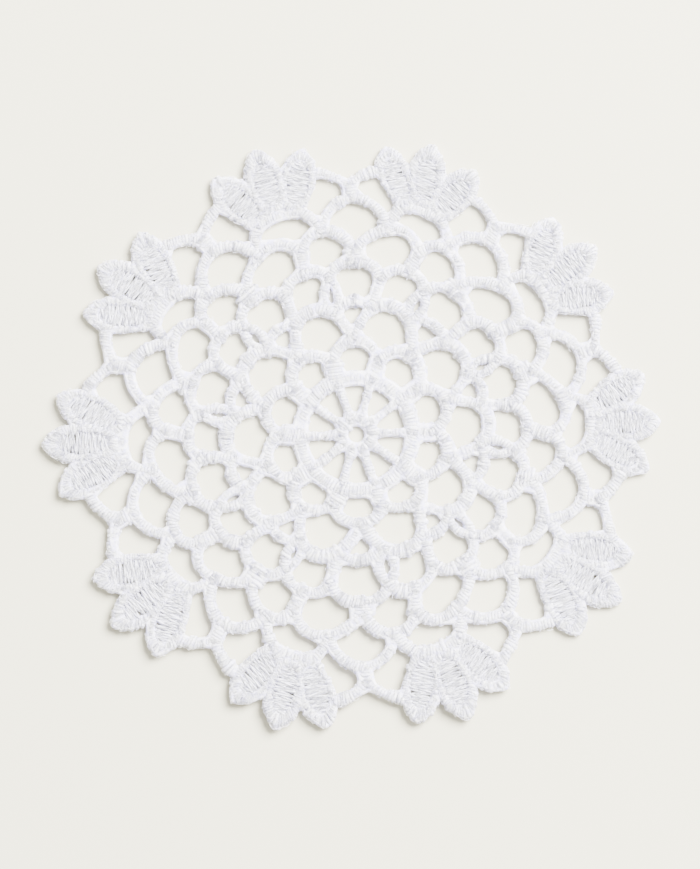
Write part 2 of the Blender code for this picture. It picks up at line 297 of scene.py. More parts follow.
def knot_place(name, repeat, ahead):
    """A knot's place on the chart of one repeat; ahead is 1 for the next one's knot."""
    knot = KNOTS[name]
    x, y = on_chart(knot.share, knot.turn)
    shift = KNOT_SHIFTS[name, (repeat + ahead) % REPEATS]
    x, y = x + shift[0], y + shift[1]
    turn = math.degrees(math.atan2(x, y)) + STEP * ahead
    return np.array(on_chart(math.hypot(x, y), turn))


def band_sides(band, repeat):
    """The left and right sides of a band, as two rows of points on the lace."""
    first = knot_place(band.start, repeat, 0)
    last = knot_place(band.end, repeat, band.ahead)
    span = np.linalg.norm(last - first)
    # The seed is the band's own, as the walls, the threads and the fuzz each ask for
    # these sides and have to find them the same.
    dice = np.random.default_rng(int(1e6 * (abs(first[0]) + 3 * abs(last[1]))) + repeat)
    wander = np.interp(
        np.linspace(0, 1, BAND_STEPS + 1), np.linspace(0, 1, WIDTH_CHANGES),
        dice.normal(1.0, WIDTH_PLAY, WIDTH_CHANGES))
    way = (last - first) / span
    normal = np.array((-way[1], way[0]))
    left, right = [], []
    for step in range(BAND_STEPS + 1):
        along = step / BAND_STEPS
        slope = 4 * band.bulge * (1 - 2 * along)
        middle = (
            first + way * along * span
            + normal * 4 * band.bulge * span * along * (1 - along))
        near_knot = min(along, 1 - along) * span / FLARE_LENGTH
        half_width = band.width / 2 * wander[step] + FLARE * math.exp(-near_knot ** 2)
        out = (normal - way * slope) / math.hypot(1, slope) * half_width
        left.append(on_lace(repeat, middle + out))
        right.append(on_lace(repeat, middle - out))
    return np.array(left), np.array(right)


def leaf_half_width(leaf, ahead):
    """Half a leaf's width at a place ahead of its middle, or behind it."""
    if ahead >= 0:
        near_tip = min(1.0, ahead / leaf.length)
        return leaf.half_width * (1 - near_tip ** TIP_CURVE) ** TIP_POINT
    narrow = (1 - BASE_WIDTH) * (-ahead / LEAF_BACK) ** BASE_CURVE
    return leaf.half_width * (1 - narrow)


def spread_evenly(points, count):
    """The same line as a number of points that lie evenly along it."""
    points = np.asarray(points, float)
    lengths = np.linalg.norm(np.diff(points, axis=0), axis=1)
    along = np.concatenate([[0], np.cumsum(lengths)])
    places = np.linspace(0, along[-1], count)
    return np.stack([np.interp(places, along, column) for column in points.T], axis=1)


def leaf_line(leaf):
    """A leaf's outline as (ahead, across), from the middle of its base round its left."""
    points = [(-LEAF_BACK, 0.0), (-LEAF_BACK, -leaf_half_width(leaf, -LEAF_BACK))]
    for step in range(1, BACK_STEPS):
        ahead = -LEAF_BACK * (1 - step / BACK_STEPS)
        points.append((ahead, -leaf_half_width(leaf, ahead)))
    for step in range(FRONT_STEPS):
        ahead = leaf.length * math.sin(math.radians(90 * step / FRONT_STEPS))
        points.append((ahead, -leaf_half_width(leaf, ahead)))
    points.append((leaf.length, 0.0))
    points += [(ahead, -across) for ahead, across in points[-2::-1]]
    return spread_evenly(points, LEAF_STEPS + 1)


def opening_line():
    """The opening in a leaf as (ahead, across), matched to its outline point by point."""
    points = []
    for step in range(LEAF_STEPS + 1):
        side = math.radians(-180 + 360 * step / LEAF_STEPS)
        ahead = -OPENING_BACK + OPENING_LENGTH * math.cos(side)
        points.append((ahead, OPENING_WIDTH * math.sin(side)))
    return np.array(points)


def leaf_places(leaf, repeat, line):
    """A line of places in a leaf, as points on the lace."""
    return [on_lace(repeat, in_leaf(leaf, *place)) for place in line]


def leaf_sides(leaf, repeat):
    """The outline and the opening of a leaf, as two rows of points on the lace."""
    outer = leaf_places(leaf, repeat, leaf_line(leaf))
    inner = leaf_places(leaf, repeat, opening_line())
    return np.array(outer), np.array(inner)


# ---------------------------------------------------------------- padding

PADDING_LOW = 0.0002      # underside of the padding inside the cords
PADDING_HIGH = 0.00133    # its top, which fills the grooves between two turns
PADDING_INSET = 0.00014   # from the stitches' outer edge in to the padding's
PADDING_ROUND = 0.00034   # how far its shoulders then lean in

# Its side, from the underside up: how far it leans in, as a part of PADDING_ROUND,
# and its height.
PADDING_SIDE = (
    (0.8, PADDING_LOW),
    (0.0, PADDING_LOW + 0.0003),
    (0.0, PADDING_HIGH - 0.00045),
    (0.4, PADDING_HIGH - 0.00018),
    (1.0, PADDING_HIGH),
)
TIP_STEPS = 8             # straight pieces from a leaf's middle to its tip
HOLE_CORNERS = 18         # of the hole in the hub
MITRE_LIMIT = 1.6         # how much further than its sides a sharp corner may move in


def band_walls():
    """Upright walls round every band, for the gaps to be measured against."""
    verts, faces = [], []
    for repeat in range(REPEATS):
        rings = [
            leaf_places(leaf, repeat, leaf_line(leaf)[:-1:COARSE]) for leaf in LEAVES]
        for band in BANDS:
            left, right = band_sides(band, repeat)
            rings.append(list(left) + list(right[::-1]))
        for ring in rings:
            first = len(verts)
            for x, y, _ in ring:
                verts += [(x, y, -1.0), (x, y, 1.0)]
            for index in range(len(ring)):
                here = first + 2 * index
                there = first + 2 * ((index + 1) % len(ring))
                faces.append((here, there, there + 1, here + 1))
    return BVHTree.FromPolygons(verts, faces)


def gap_outline(gap, repeat, walls):
    """A gap's edge, clockwise seen from above: where lines from inside it meet cords."""
    x, y, _ = on_lace(repeat, on_chart(gap.share, gap.turn))
    axis = math.radians(FIRST_AXIS - STEP * repeat - gap.turn - gap.tilt)
    points = []
    for corner in range(gap.corners):
        angle = -2 * math.pi * corner / gap.corners
        ahead, side = gap.stretch * math.cos(angle), math.sin(angle)
        way = Vector((
            ahead * math.cos(axis) - side * math.sin(axis),
            ahead * math.sin(axis) + side * math.cos(axis),
            0.0,
        ))
        point = walls.ray_cast(Vector((x, y, 0.0)), way)[0]
        share = math.hypot(point.x - HUB[0], point.y - HUB[1]) / REACH
        turned = math.degrees(math.atan2(point.y - HUB[1], point.x - HUB[0]))
        points.append((point.x, point.y, lift_at(share, (FIRST_AXIS - turned) / STEP)))
    return points


def padding_edge():
    """The scalloped edge of the padding, anticlockwise seen from above."""
    points = []
    for repeat in range(REPEATS):
        points.append(on_lace(repeat, on_chart(NOTCH_SHARE, -STEP / 2)))
        points.append(on_lace(repeat, on_chart(BAR_SHARE, -BAR_TURN)))
        for leaf in LEAVES:
            for step in range(1 - TIP_STEPS, TIP_STEPS):
                ahead = leaf.length * math.cos(math.radians(90 * step / TIP_STEPS))
                across = math.copysign(leaf_half_width(leaf, ahead), step)
                points.append(on_lace(repeat, in_leaf(leaf, ahead, across)))
            if leaf is not LEAVES[-1]:
                side = -1 if leaf is LEAVES[0] else 1
                points.append(on_lace(repeat, on_chart(CLEFT_SHARE, side * CLEFT_TURN)))
        points.append(on_lace(repeat, on_chart(BAR_SHARE, BAR_TURN)))
    return points[::-1]


def centre_hole():
    """The edge of the hole in the hub, clockwise seen from above."""
    angles = [-math.radians(360 / HOLE_CORNERS * corner) for corner in range(HOLE_CORNERS)]
    return [
        (HUB[0] + CENTRE_HOLE * math.cos(a), HUB[1] + CENTRE_HOLE * math.sin(a), 0.0)
        for a in angles
    ]


def moved_in(outline, distance):
    """An outline moved to its own left, with its corners mitred."""
    moved = []
    for index, (x, y, lift) in enumerate(outline):
        before = outline[index - 1]
        after = outline[(index + 1) % len(outline)]
        first = math.atan2(y - before[1], x - before[0])
        second = math.atan2(after[1] - y, after[0] - x)
        half_bend = (second - first + math.pi) % (2 * math.pi) / 2 - math.pi / 2
        reach = distance * min(1 / max(math.cos(half_bend), 0.01), MITRE_LIMIT)
        normal = first + half_bend + math.pi / 2
        moved.append((x + reach * math.cos(normal), y + reach * math.sin(normal), lift))
    return moved


def padding_mesh():
    """The padding: a plate with rounded shoulders and every gap cut through."""
    walls = band_walls()
    outlines = [padding_edge(), centre_hole()]
    for repeat in range(REPEATS):
        outlines += [gap_outline(gap, repeat, walls) for gap in GAPS]
        outlines += [
            leaf_places(leaf, repeat, opening_line()[:-1:COARSE]) for leaf in LEAVES]
    mesh = bmesh.new()
    caps = [[], []]
    for outline in outlines:
        rings = []
        for lean, height in PADDING_SIDE:
            ring = moved_in(outline, PADDING_INSET + PADDING_ROUND * lean)
            rings.append([mesh.verts.new((x, y, lift + height)) for x, y, lift in ring])
        for low, high in zip(rings, rings[1:]):
            for index in range(len(low)):
                mesh.faces.new((low[index - 1], low[index], high[index], high[index - 1]))
        for cap, ring in zip(caps, (rings[0], rings[-1])):
            cap += [mesh.edges.get((ring[index - 1], ring[index]))
                    for index in range(len(ring))]
    for cap in caps:
        bmesh.ops.triangle_fill(mesh, edges=cap, use_beauty=True)
    bmesh.ops.recalc_face_normals(mesh, faces=mesh.faces)
    return mesh


# ---------------------------------------------------------------- thread

TURN_STEPS = 8            # straight pieces in one turn of a thread
OVERRUN = 0.0004          # how far a cord's thread runs on past its knots
RAGGED = 0.00015          # how unevenly its turns end at a cord's sides
LEAF_RAGGED = 0.00016     # the same, at the sides of a leaf's border
THICKNESS_PLAY = 0.12     # how much a thread's thickness wanders, as a part of it
TURN_PLAY = 0.12          # how far its turns lie from their places, in turns
TURN_LEAN = 0.9           # how far they lean one way and the other, in turns at most
LEAN_TURNS = (9, 15)      # turns that such a lean takes to come back
CREST_PLAY = 0.08         # how much their height wanders, as a part of it
CORD_PLAY = 0.03          # how much the height differs from cord to cord
LEAF_HEIGHT = 0.96        # a leaf's border, as a part of a cord's height
OFF_TABLE = 1.02          # lowest place of a thread's middle, in its own radii
DOUBLES = 0.000002        # ends of threads that are nearer than this are joined


def new_thread_curve(name, radius, roundness=1):
    """An empty curve whose splines become round threads. They have 4 sides, and 2 more
    for each step of roundness."""
    curve = bpy.data.curves.new(name, "CURVE")
    curve.dimensions = "3D"
    curve.bevel_depth = radius
    curve.bevel_resolution = roundness
    curve.use_fill_caps = True
    return curve


def add_thread(curve, points, radii):
    """Adds a thread through points; its radii are parts of the curve's own."""
    spline = curve.splines.new("POLY")
    spline.points.add(len(points) - 1)
    rows = np.concatenate([points, np.ones((len(points), 1))], axis=1)
    spline.points.foreach_set("co", rows.ravel())
    radii = np.broadcast_to(radii, len(points)).astype(np.float32)
    spline.points.foreach_set("radius", radii)
    spline.use_smooth = True


def to_mesh(curve):
    """Makes a curve's threads a mesh object, selected and active."""
    bpy.ops.object.select_all(action="DESELECT")
    piece = bpy.data.objects.new(curve.name, curve)
    bpy.context.scene.collection.objects.link(piece)
    piece.select_set(True)
    bpy.context.view_layer.objects.active = piece
    bpy.ops.object.convert(target="MESH")
    bpy.ops.object.mode_set(mode="EDIT")
    bpy.ops.mesh.select_all(action="SELECT")
    bpy.ops.mesh.remove_doubles(threshold=DOUBLES)
    bpy.ops.object.mode_set(mode="OBJECT")
    return piece


def run_on(side, distance):
    """A side of a band, run on past both its ends."""
    first = side[0] - side[1]
    last = side[-1] - side[-2]
    start = side[0] + first / np.linalg.norm(first) * distance
    end = side[-1] + last / np.linalg.norm(last) * distance
    return np.concatenate([[start], side, [end]])


def wavering(dice, turns, places, amount):
    """A value near 1 that wanders from turn to turn."""
    return np.interp(places, np.arange(turns + 1), dice.normal(1.0, amount, turns + 1))


def along_band(left, right):
    """Distance along a band at each of its points."""
    steps = np.linalg.norm(np.diff((left + right) / 2, axis=0), axis=1)
    return np.concatenate([[0], np.cumsum(steps)])


def points_at(side, along, where):
    """The points of a band's side at given distances along the band."""
    return np.stack([np.interp(where, along, column) for column in side.T], axis=1)


def around_band(left, right, along, where, angle, reach, rise):
    """Points round a band: angle 0 is its right side and a quarter turn its top. Reach
    is how far they lie outside its sides, and rise is how far above its middle."""
    first = points_at(left, along, where[0])
    second = points_at(right, along, where[1])
    half = (second - first) / 2
    width = np.linalg.norm(half[:, :2], axis=1)
    points = (first + second) / 2 + half / width[:, None] * (
        (width + reach) * np.cos(angle))[:, None]
    points[:, 2] += rise * np.sin(angle)
    return points


def wind(curve, left, right, spacing, height, base, dice, ragged):
    """Winds one thread round a band, from its first end to its last. The band is as high
    as the height, and stands on the base."""
    along = along_band(left, right)
    turns = max(2, round(along[-1] / spacing))
    places = np.arange(turns * TURN_STEPS + 1) / TURN_STEPS
    thick = wavering(dice, turns, places, THICKNESS_PLAY)
    radius = curve.bevel_depth
    where = []
    for _ in range(2):
        lean = TURN_LEAN * np.sin(
            2 * math.pi * (places / dice.uniform(*LEAN_TURNS) + dice.random()))
        shift = wavering(dice, turns, places, TURN_PLAY) - 1 + lean * dice.random()
        where.append(np.clip((places + shift) / turns, 0, 1) * along[-1])
    angle = 2 * math.pi * (places + dice.random())
    reach = (wavering(dice, turns, places, 1.0) - 1) * ragged - radius
    rise = (height / 2 - radius) * wavering(dice, turns, places, CREST_PLAY)
    points = around_band(left, right, along, where, angle, reach, rise)
    points[:, 2] = np.maximum(points[:, 2] + base + height / 2, radius * thick * OFF_TABLE)
    add_thread(curve, points, thick)


def cord_threads(name, bands, settings, seed):
    """The wound cords of one tier of the lace."""
    dice = np.random.default_rng(settings.seed + seed)
    curve = new_thread_curve(name, settings.thread_thickness / 2)
    for repeat in range(REPEATS):
        for band in bands:
            left, right = (run_on(side, OVERRUN) for side in band_sides(band, repeat))
            height = settings.cord_height * dice.normal(1.0, CORD_PLAY)
            wind(curve, left, right, settings.stitch_spacing, height, 0.0, dice, RAGGED)
    return to_mesh(curve)


def leaf_threads(name, leaf, settings, seed):
    """The satin-stitched borders of one leaf of every cluster."""
    dice = np.random.default_rng(settings.seed + seed)
    curve = new_thread_curve(name, settings.thread_thickness / 2)
    height = settings.cord_height * LEAF_HEIGHT
    for repeat in range(REPEATS):
        outer, inner = leaf_sides(leaf, repeat)
        # Turns are counted half way in, and are to lie as stitch_spacing says outside.
        outline_length, opening_length = (
            np.linalg.norm(np.diff(side, axis=0), axis=1).sum() for side in (outer, inner))
        spacing = settings.stitch_spacing * 0.5 * (1 + opening_length / outline_length)
        wind(curve, outer, inner, spacing, height, leaf.rise, dice, LEAF_RAGGED)
    return to_mesh(curve)


# ---------------------------------------------------------------- leaf filling

# Zigzag threads over one another across a leaf's opening: the height of each layer,
# how far its ends rise, the distance between its legs and its thickness, as parts of
# the filling's own, and the side that it starts from. The two lower ones close the
# gaps of the top one.
Layer = namedtuple("Layer", "height end_rise spacing thickness first_side")
LAYERS = (
    Layer(0.00084, 0.0, 0.72, 1.10, 1),
    Layer(0.00094, 0.0, 0.90, 0.95, -1),
    Layer(0.00102, 0.0002, 0.95, 0.90, 1),
)
LEG_STEPS = 5             # straight pieces in each leg
LEG_WAVE = 0.00010        # how far it dips under and over its neighbours
ENDS_PAST = 0.008         # how far the zigzags run past the opening's ends, as a share
LEG_PAST = 0.007          # how far each leg runs in under the border, as a share
CORNER_PLAY = 0.0028      # how far its corners lie from their places along the leaf
REACH_PLAY = 0.06         # how much the legs' reach wanders, as a part of it
FILLING_PLAY = 0.12       # and how much the thread's thickness does


def bent_line(points, end_rise, dice):
    """A zigzag whose legs wave up and down and rise at their ends."""
    places = np.linspace(0, len(points) - 1, (len(points) - 1) * LEG_STEPS + 1)
    corners = np.arange(len(points))
    line = np.stack([np.interp(places, corners, column) for column in points.T], axis=1)
    line[:, 2] += end_rise * np.cos(math.pi * (places % 1.0)) ** 4
    line[:, 2] += dice.normal(0.0, LEG_WAVE, len(line))
    return line


def filling_threads(name, settings, seed):
    """The zigzag threads across the open middle of each leaf, one over another."""
    dice = np.random.default_rng(settings.seed + seed)
    curve = new_thread_curve(name, settings.filling_thickness / 2)
    reach = OPENING_LENGTH + ENDS_PAST
    for repeat in range(REPEATS):
        for leaf in LEAVES:
            for layer in LAYERS:
                legs = round(2 * reach * REACH / (settings.filling_spacing * layer.spacing))
                points = []
                for leg in range(legs + 1):
                    ahead = reach * (2 * leg / legs - 1) + dice.normal(0.0, CORNER_PLAY)
                    within = min(1.0, abs(ahead / reach))
                    across = OPENING_WIDTH * math.sqrt(1 - within * within) + LEG_PAST
                    across *= (-layer.first_side if leg % 2 else layer.first_side)
                    across *= dice.normal(1.0, REACH_PLAY)
                    place = in_leaf(leaf, ahead - OPENING_BACK, across)
                    x, y, lift = on_lace(repeat, place)
                    points.append((x, y, lift + layer.height + leaf.rise))
                points = bent_line(np.array(points), layer.end_rise, dice)
                thick = layer.thickness * dice.normal(1.0, FILLING_PLAY, len(points))
                add_thread(curve, points, thick)
    return to_mesh(curve)


# ---------------------------------------------------------------- fuzz

FIBRE_POINTS = 4          # points that a loose fibre is drawn through
FIBRE_STAND = 0.00007     # how far most of them stand off the stitches
FIBRE_DRIFT = 0.0005      # how far most of them run along the cord
FIBRE_BELOW = 0.4         # how far below its sides they still start, in radians
FIBRE_WRAP = 1.1          # how far round it they run, in radians at most
FIBRE_ARCH = 2.4          # how much of a half wave they stand up in, in radians
FIBRE_OFF_TABLE = 1.5     # lowest place of a fibre's middle, in radii
FIBRE_SIZES = (0.7, 1.3)  # thinnest and thickest, as parts of the usual one
LEAF_FUZZ = 2.0           # how much thicker they lie on the leaves' borders


def add_fibres(curve, left, right, count, height, base, dice):
    """Strews loose fibre ends over a band's stitches and along its sides."""
    along = along_band(left, right)
    part = np.linspace(0, 1, FIBRE_POINTS)
    for _ in range(count):
        where = dice.random() * along[-1] + dice.normal(0.0, FIBRE_DRIFT) * part
        angle = dice.uniform(-FIBRE_BELOW, math.pi + FIBRE_BELOW)
        angle = angle + dice.uniform(-FIBRE_WRAP, FIBRE_WRAP) * part
        stand = dice.exponential(FIBRE_STAND) * np.sin(FIBRE_ARCH * part)
        points = around_band(
            left, right, along, (where, where), angle, stand, height / 2 + stand)
        lowest = curve.bevel_depth * FIBRE_OFF_TABLE
        points[:, 2] = np.maximum(points[:, 2] + base + height / 2, lowest)
        add_thread(curve, points, dice.uniform(*FIBRE_SIZES))


def cord_fibres(name, settings, seed):
    """The fuzz of the cords."""
    dice = np.random.default_rng(settings.seed + seed)
    curve = new_thread_curve(name, settings.fibre_thickness / 2, roundness=0)
    for repeat in range(REPEATS):
        for band in BANDS:
            left, right = band_sides(band, repeat)
            count = round(along_band(left, right)[-1] * settings.fibre_density)
            add_fibres(curve, left, right, count, settings.cord_height, 0.0, dice)
    return to_mesh(curve)


def leaf_fibres(name, settings, seed):
    """The fuzz of the leaves' borders."""
    dice = np.random.default_rng(settings.seed + seed)
    curve = new_thread_curve(name, settings.fibre_thickness / 2, roundness=0)
    height = settings.cord_height * LEAF_HEIGHT
    for repeat in range(REPEATS):
        for leaf in LEAVES:
            outer, inner = leaf_sides(leaf, repeat)
            count = round(along_band(outer, inner)[-1] * settings.fibre_density * LEAF_FUZZ)
            add_fibres(curve, outer, inner, count, height, leaf.rise, dice)
    return to_mesh(curve)


# ---------------------------------------------------------------- finishes

# The cotton's patterns. A patch is where fibres lie alike: lighter and darker colour at
# random, partly the cotton's own uneven tone and partly painted sheen. The bumps stand
# for single fibres, which are far too fine to show, so they are drawn half a millimetre
# across.
PATCH_SCALE = 1100.0      # patches in a metre, so 0.9 mm for each
PATCH_NOISE = (0.36, 0.64)   # the noise at the darkest and at the lightest of them
BUMP_SCALE = 1900.0       # bumps in a metre, so 0.5 mm for each
BUMP_HEIGHT = 0.00015
THREAD_DEPTH = 0.0010     # how deep light sinks into thread


def linear(hex_colour):
    """An sRGB hex colour as linear red, green, blue and alpha."""
    values = [int(hex_colour[index:index + 2], 16) / 255 for index in (1, 3, 5)]
    return tuple(
        value / 12.92 if value <= 0.04045 else ((value + 0.055) / 1.055) ** 2.4
        for value in values
    ) + (1.0,)


def add_node(tree, kind, links=None, **values):
    """Adds a node: links and plain values go to inputs by name, the rest are settings."""
    node = tree.nodes.new(kind)
    for name, value in values.items():
        if name in node.inputs:
            node.inputs[name].default_value = value
        else:
            setattr(node, name, value)
    for name, source in (links or {}).items():
        tree.links.new(source, node.inputs[name])
    return node


def cotton(name, light, dark, depth, roughness):
    """Bleached cotton: white, a little cold, mottled where fibres lie this way and that,
    which is partly its own uneven tone and partly painted sheen.
    Light sinks in by the depth and comes out again, which keeps its shadows pale."""
    material = bpy.data.materials.new(name)
    material.use_nodes = True
    tree = material.node_tree
    shader = tree.nodes["Principled BSDF"]
    place = add_node(tree, "ShaderNodeTexCoord").outputs["Object"]
    patch = add_node(
        tree, "ShaderNodeTexNoise", {"Vector": place}, Scale=PATCH_SCALE, Detail=3.0)
    spread = add_node(tree, "ShaderNodeMapRange", {"Value": patch.outputs["Fac"]})
    spread.inputs["From Min"].default_value = PATCH_NOISE[0]
    spread.inputs["From Max"].default_value = PATCH_NOISE[1]
    tint = add_node(
        tree, "ShaderNodeMix", {"Factor": spread.outputs["Result"]}, data_type="RGBA")
    tint.inputs["A"].default_value = tuple(dark) + (1.0,)
    tint.inputs["B"].default_value = tuple(light) + (1.0,)
    fibre = add_node(
        tree, "ShaderNodeTexNoise", {"Vector": place}, Scale=BUMP_SCALE, Detail=3.0)
    bump = add_node(
        tree, "ShaderNodeBump", {"Height": fibre.outputs["Fac"]},
        Strength=1.0, Distance=BUMP_HEIGHT)
    tree.links.new(tint.outputs["Result"], shader.inputs["Base Color"])
    tree.links.new(bump.outputs["Normal"], shader.inputs["Normal"])
    shader.inputs["Roughness"].default_value = roughness
    shader.inputs["IOR"].default_value = 1.53
    shader.inputs["Specular IOR Level"].default_value = 0.4
    shader.inputs["Sheen Weight"].default_value = 0.25
    shader.inputs["Sheen Roughness"].default_value = 0.5
    shader.inputs["Subsurface Weight"].default_value = 0.8 if depth else 0.0
    shader.inputs["Subsurface Radius"].default_value = (depth, depth, depth * 1.1)
    shader.inputs["Subsurface Scale"].default_value = 1.0
    return material


def wound_thread(settings):
    """Mercerised embroidery thread, wound tight: soft sheen along each stitch."""
    return cotton(
        "mercerised_cotton_thread", settings.thread_colour, settings.thread_shade,
        THREAD_DEPTH, 0.5)


def filling_thread(settings):
    """The same thread unpolished and a little less cold. Its colours are darker than the
    thread's: painted shade where the filling lies sunk between the borders.
    """
    return cotton(
        "matt_cotton_thread_painted_shade", settings.filling_colour_and_shade, settings.filling_shade,
        THREAD_DEPTH, 0.7)


def loose_fibre(settings):
    """Single fibres that have worked loose. Too thin to shade each other, and coloured
    whiter than the thread, a painted glint, so they read as bright specks and a faint
    fuzz along the edges."""
    return cotton(
        "loose_cotton_fibre", settings.fibre_glint_colour, settings.thread_colour, 0.0, 0.35)


def matt_paper(settings):
    """Uncoated paper or painted board: even and without gloss."""
    material = bpy.data.materials.new("matt_paper")
    material.use_nodes = True
    shader = material.node_tree.nodes["Principled BSDF"]
    shader.inputs["Base Color"].default_value = tuple(settings.floor_colour) + (1.0,)
    shader.inputs["Roughness"].default_value = 0.9
    shader.inputs["Specular IOR Level"].default_value = 0.2
    return material


def finish_piece(piece, material):
    """Gives a finished piece its material and sets it on the part."""
    piece.data.materials.clear()
    piece.data.materials.append(material)
    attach(piece, "root")


# ---------------------------------------------------------------- stage

FLOOR_SIZE = 4.0
KEY_SIZE = 0.75           # across the disc of the key light
KEY_DISTANCE = 1.1
KEY_DIRECTION = 40.0      # degrees from +X towards +Y
KEY_HEIGHT = 50.0         # degrees above the table
KEY_COLOUR = (1.0, 0.99, 0.97)
ROOM_COLOUR = (1.0, 0.985, 0.96, 1.0)
EYE_DISTANCE = 0.75
EYE_DIRECTION = -90.0
EYE_HEIGHT = 87.0
LOOK_AT = (-0.00032, 0.00033, 0.0)
VIEW_WIDTH = 0.1251       # width that the camera sees at the lace
SENSOR_WIDTH = 36.0       # in millimetres, as the lens is


def place_towards(piece, target, direction, height, distance):
    """Sets a light or camera at a distance from its target, facing it."""
    direction, height = math.radians(direction), math.radians(height)
    way = Vector((
        math.cos(height) * math.cos(direction),
        math.cos(height) * math.sin(direction),
        math.sin(height),
    ))
    piece.location = Vector(target) + way * distance
    piece.rotation_euler = (-way).to_track_quat("-Z", "Y").to_euler()


def add_floor(settings):
    """A plain matt surface under the lace."""
    bpy.ops.object.select_all(action="DESELECT")
    bpy.ops.mesh.primitive_plane_add(size=FLOOR_SIZE, location=(0, 0, 0))
    floor = bpy.context.active_object
    floor.name = "floor"
    floor.data.materials.append(matt_paper(settings))


def add_lights(scene, settings):
    """An even light all round and one large soft light from the upper right."""
    world = bpy.data.worlds.new("room")
    scene.world = world
    world.use_nodes = True
    back = world.node_tree.nodes["Background"]
    back.inputs["Color"].default_value = ROOM_COLOUR
    back.inputs["Strength"].default_value = settings.fill_strength
    key = bpy.data.lights.new("key", "AREA")
    key.energy = settings.key_power
    key.shape = "DISK"
    key.size = KEY_SIZE
    key.color = KEY_COLOUR
    lamp = bpy.data.objects.new("key", key)
    scene.collection.objects.link(lamp)
    place_towards(lamp, (0.0, 0.0, 0.0), KEY_DIRECTION, KEY_HEIGHT, KEY_DISTANCE)


def add_camera(scene):
    """A camera nearly straight above, which takes in the whole lace."""
    camera = bpy.data.cameras.new("camera")
    camera.sensor_fit = "HORIZONTAL"
    camera.sensor_width = SENSOR_WIDTH
    camera.lens = SENSOR_WIDTH * EYE_DISTANCE / VIEW_WIDTH
    camera.clip_start = 0.05
    camera.clip_end = 20.0
    camera.dof.use_dof = False
    eye = bpy.data.objects.new("camera", camera)
    scene.collection.objects.link(eye)
    place_towards(eye, LOOK_AT, EYE_DIRECTION, EYE_HEIGHT, EYE_DISTANCE)
    scene.camera = eye


# ---------------------------------------------------------------- add-on

# What each group of pieces adds to the seed, so that it has draws of its own. Each
# piece of a group adds one more than the last.
CORD_SEED = 0
LEAF_SEED = 20
FILLING_SEED = 30
FUZZ_SEED = 40


class LaceSettings(bpy.types.PropertyGroup):
    """Sizes and colours of the thread, and the seed"""
    thread_thickness: bpy.props.FloatProperty(
        name="Thread Thickness", description="Across one wound thread",
        default=0.00110, min=0.0002, max=0.002, unit="LENGTH", precision=5)
    stitch_spacing: bpy.props.FloatProperty(
        name="Stitch Spacing", description="From one turn of the thread to the next",
        default=0.00053, min=0.0003, max=0.002, unit="LENGTH", precision=5)
    cord_height: bpy.props.FloatProperty(
        name="Cord Height", description="A cord, from the table to the top of its stitches",
        default=0.00155, min=0.0008, max=0.003, unit="LENGTH", precision=5)
    filling_thickness: bpy.props.FloatProperty(
        name="Filling Thickness", description="Across the zigzag thread inside a leaf",
        default=0.00036, min=0.0001, max=0.001, unit="LENGTH", precision=5)
    filling_spacing: bpy.props.FloatProperty(
        name="Filling Spacing", description="From one leg of the zigzag to the next",
        default=0.00045, min=0.0002, max=0.004, unit="LENGTH", precision=5)
    fibre_thickness: bpy.props.FloatProperty(
        name="Fibre Thickness", description="Across one loose fibre",
        default=0.00007, min=0.00001, max=0.0003, unit="LENGTH", precision=6)
    fibre_density: bpy.props.FloatProperty(
        name="Fibre Density", description="Loose fibres in each metre of cord",
        default=2600.0, min=0.0)
    # The thread's two colours are the ends of its mottle: random patches, partly the
    # cotton's own tone and partly painted sheen.
    thread_colour: bpy.props.FloatVectorProperty(
        name="Thread Colour", description="The thread where it catches the light",
        subtype="COLOR", size=3, min=0.0, max=1.0, default=linear("#f1efff")[:3])
    thread_shade: bpy.props.FloatVectorProperty(
        name="Thread Shade", description="The thread's slightly darker patches",
        subtype="COLOR", size=3, min=0.0, max=1.0, default=linear("#cfcdf9")[:3])
    # The filling's colours are a little less cold than the thread's, and darker: painted
    # shade of the filling that lies sunk between the borders.
    filling_colour_and_shade: bpy.props.FloatVectorProperty(
        name="Filling Colour", description="The zigzag thread where it catches the light",
        subtype="COLOR", size=3, min=0.0, max=1.0, default=linear("#e5e4f5")[:3])
    filling_shade: bpy.props.FloatVectorProperty(
        name="Filling Shade", description="The zigzag thread's slightly darker patches",
        subtype="COLOR", size=3, min=0.0, max=1.0, default=linear("#cecde6")[:3])
    # Whiter than the thread: a painted glint on the loose fibres.
    fibre_glint_colour: bpy.props.FloatVectorProperty(
        name="Fibre Colour", description="Loose fibres where they catch the light",
        subtype="COLOR", size=3, min=0.0, max=1.0, default=linear("#fcfcff")[:3])
    seed: bpy.props.IntProperty(
        name="Seed", description="Picks another set of small irregularities",
        default=7, min=0)


class StageSettings(bpy.types.PropertyGroup):
    """The floor and the lights"""
    floor_colour: bpy.props.FloatVectorProperty(
        name="Floor Colour", description="The plain surface that the doily lies on",
        subtype="COLOR", size=3, min=0.0, max=1.0, default=linear("#c8c5af")[:3])
    key_power: bpy.props.FloatProperty(
        name="Key Light", description="Power of the light from the upper right",
        default=134.0, min=0.0, unit="POWER")
    fill_strength: bpy.props.FloatProperty(
        name="Room Light", description="Strength of the even light all round",
        default=1.58, min=0.0)


class LACE_OT_padding(bpy.types.Operator):
    """Adds the padding inside the cords, as one sheet"""
    bl_idname = "lace.padding"
    bl_label = "Padding"

    def execute(self, context):
        settings = context.scene.lace_settings
        mesh = padding_mesh()
        data = bpy.data.meshes.new("lace_ground")
        mesh.to_mesh(data)
        mesh.free()
        piece = bpy.data.objects.new("lace_ground", data)
        context.scene.collection.objects.link(piece)
        finish_piece(piece, wound_thread(settings))
        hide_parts("lace_doily")
        return {"FINISHED"}


